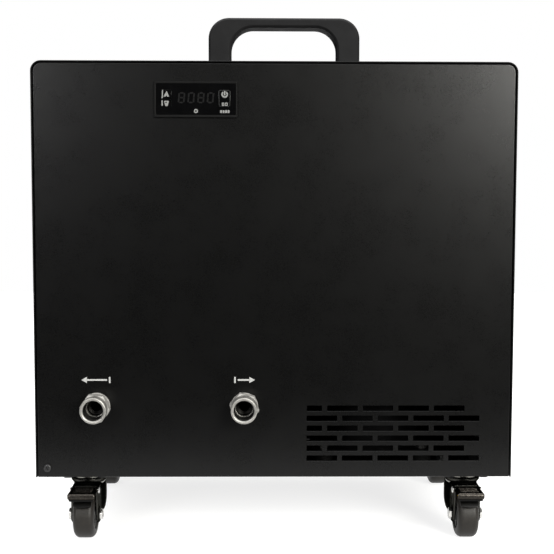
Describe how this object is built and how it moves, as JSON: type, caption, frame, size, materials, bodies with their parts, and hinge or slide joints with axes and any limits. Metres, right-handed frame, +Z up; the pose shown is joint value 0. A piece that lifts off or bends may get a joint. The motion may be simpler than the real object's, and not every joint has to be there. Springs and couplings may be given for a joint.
{
  "type": "water chiller",
  "caption": "Portable water chiller: black sheet-metal cabinet on swivel casters with a carry handle, panel thermostat, two threaded water ports and slotted intake grille.",
  "frame": {"origin": "on the floor, under the middle of the whole object's box", "axes": "+X to the right and +Z up when looking at the front, +Y towards the rear; the front panel with the ports and thermostat faces -Y"},
  "size_m": [0.4656, 0.3077, 0.525],
  "materials": {
    "powder_coat": "black powder coat with a fine sand texture, satin",
    "black_screw": "blackened steel, satin",
    "handle_plastic": "moulded black nylon, fine matte grain",
    "zinc": "bright zinc plating with soft reflections",
    "black_zinc": "pressed steel with black zinc plating, semi-bright",
    "bezel_plastic": "dark grey moulded plastic, semi-matte",
    "window_gloss": "black gloss acrylic, polished",
    "black_plastic": "black moulded plastic, fine spark texture",
    "circuit_board": "green solder mask",
    "port_metal": "turned and nickel plated, satin",
    "compressor_paint": "black enamel, semi-gloss",
    "black_rubber": "matt black rubber",
    "coated_aluminium": "rolled aluminium with a thin black coating",
    "copper": "drawn copper, slightly oxidised",
    "titanium": "drawn titanium, satin",
    "white_plastic": "moulded white plastic",
    "wheel_rubber": "dark grey synthetic tread, satin"
  },
  "bodies": {
    "cabinet": {"base_pan": "powder_coat", "wrap_cover": "powder_coat", "front_panel": "powder_coat", "rear_panel": "powder_coat", "panel_screws": "black_screw", "handle": "handle_plastic", "handle_screws": "zinc", "controller_bezel": "bezel_plastic", "controller_window": "window_gloss", "controller_case": "black_plastic", "controller_board": "circuit_board", "outlet_fitting": "port_metal", "inlet_fitting": "port_metal", "fitting_locknuts": "port_metal", "compressor": "compressor_paint", "compressor_grommets": "black_rubber", "terminal_cover": "black_plastic", "condenser_tubes": "coated_aluminium", "condenser_fins": "coated_aluminium", "discharge_line": "copper", "liquid_line": "copper", "suction_line": "black_rubber", "filter_drier": "copper", "evaporator_barrel": "black_plastic", "evaporator_lid": "black_plastic", "evaporator_coil": "titanium", "fan_shroud": "black_plastic", "fan_motor": "black_plastic", "pump_volute": "black_plastic", "pump_motor": "black_plastic", "inlet_hose": "black_rubber", "transfer_hose": "black_rubber", "outlet_hose": "black_rubber", "hose_clamps": "zinc", "electrical_box": "black_plastic", "temperature_probe": "black_rubber", "power_inlet": "black_plastic", "caster_plates": "black_zinc", "mounting_bolts": "zinc", "swivel_balls": "zinc"},
    "caster_front_left": {"fork_front_left": "black_zinc", "axle_front_left": "zinc"},
    "wheel_front_left": {"wheel_front_left": "wheel_rubber"},
    "caster_front_right": {"fork_front_right": "black_zinc", "axle_front_right": "zinc"},
    "wheel_front_right": {"wheel_front_right": "wheel_rubber"},
    "caster_rear_left": {"fork_rear_left": "black_zinc", "axle_rear_left": "zinc"},
    "wheel_rear_left": {"wheel_rear_left": "wheel_rubber"},
    "caster_rear_right": {"fork_rear_right": "black_zinc", "axle_rear_right": "zinc"},
    "wheel_rear_right": {"wheel_rear_right": "wheel_rubber"},
    "brake_pedal_left": {"brake_pedal_left": "black_zinc"},
    "brake_pedal_right": {"brake_pedal_right": "black_zinc"},
    "key_up": {"key_up": "window_gloss"},
    "key_down": {"key_down": "window_gloss"},
    "key_power": {"key_power": "window_gloss"},
    "fan_rotor": {"fan_blades": "black_plastic"},
    "pump_rotor": {"pump_impeller": "white_plastic"},
    "power_rocker": {"power_rocker": "black_plastic"}
  },
  "joints": [
    {"name": "caster_front_left_swivel", "type": "hinge", "parent": "cabinet", "child": "caster_front_left", "pos_m": [-0.1858, -0.0888, 0.0568], "axis": [0, 0, 1], "continuous": true},
    {"name": "wheel_front_left_spin", "type": "hinge", "parent": "caster_front_left", "child": "wheel_front_left", "pos_m": [-0.1858, -0.1088, 0.023], "axis": [1, 0, 0], "continuous": true},
    {"name": "caster_front_right_swivel", "type": "hinge", "parent": "cabinet", "child": "caster_front_right", "pos_m": [0.1902, -0.0888, 0.0568], "axis": [0, 0, 1], "continuous": true},
    {"name": "wheel_front_right_spin", "type": "hinge", "parent": "caster_front_right", "child": "wheel_front_right", "pos_m": [0.1902, -0.1088, 0.023], "axis": [1, 0, 0], "continuous": true},
    {"name": "caster_rear_left_swivel", "type": "hinge", "parent": "cabinet", "child": "caster_rear_left", "pos_m": [-0.1902, 0.1092, 0.0568], "axis": [0, 0, 1], "continuous": true},
    {"name": "wheel_rear_left_spin", "type": "hinge", "parent": "caster_rear_left", "child": "wheel_rear_left", "pos_m": [-0.1902, 0.0892, 0.023], "axis": [1, 0, 0], "continuous": true},
    {"name": "caster_rear_right_swivel", "type": "hinge", "parent": "cabinet", "child": "caster_rear_right", "pos_m": [0.1946, 0.1092, 0.0568], "axis": [0, 0, 1], "continuous": true},
    {"name": "wheel_rear_right_spin", "type": "hinge", "parent": "caster_rear_right", "child": "wheel_rear_right", "pos_m": [0.1946, 0.0892, 0.023], "axis": [1, 0, 0], "continuous": true},
    {"name": "brake_pedal_left_press", "type": "hinge", "parent": "caster_front_left", "child": "brake_pedal_left", "pos_m": [-0.1858, -0.1148, 0.0482], "axis": [1, 0, 0], "range_deg": [0, 7]},
    {"name": "brake_pedal_right_press", "type": "hinge", "parent": "caster_front_right", "child": "brake_pedal_right", "pos_m": [0.1902, -0.1148, 0.0482], "axis": [1, 0, 0], "range_deg": [0, 7]},
    {"name": "key_up_press", "type": "slide", "parent": "cabinet", "child": "key_up", "axis": [0, 1, 0], "range_m": [0, 0.0006], "stiffness_N_per_m": 600, "springref_m": -0.001},
    {"name": "key_down_press", "type": "slide", "parent": "cabinet", "child": "key_down", "axis": [0, 1, 0], "range_m": [0, 0.0006], "stiffness_N_per_m": 600, "springref_m": -0.001},
    {"name": "key_power_press", "type": "slide", "parent": "cabinet", "child": "key_power", "axis": [0, 1, 0], "range_m": [0, 0.0006], "stiffness_N_per_m": 600, "springref_m": -0.001},
    {"name": "fan_spin", "type": "hinge", "parent": "cabinet", "child": "fan_rotor", "pos_m": [0.095, 0.1145, 0.205], "axis": [0, 1, 0], "continuous": true},
    {"name": "pump_spin", "type": "hinge", "parent": "cabinet", "child": "pump_rotor", "pos_m": [-0.0288, -0.034, 0.1346], "axis": [0, 1, 0], "continuous": true},
    {"name": "power_rocker_tilt", "type": "hinge", "parent": "cabinet", "child": "power_rocker", "pos_m": [-0.15, 0.1486, 0.13], "axis": [1, 0, 0], "range_deg": [0, 14]}
  ]
}
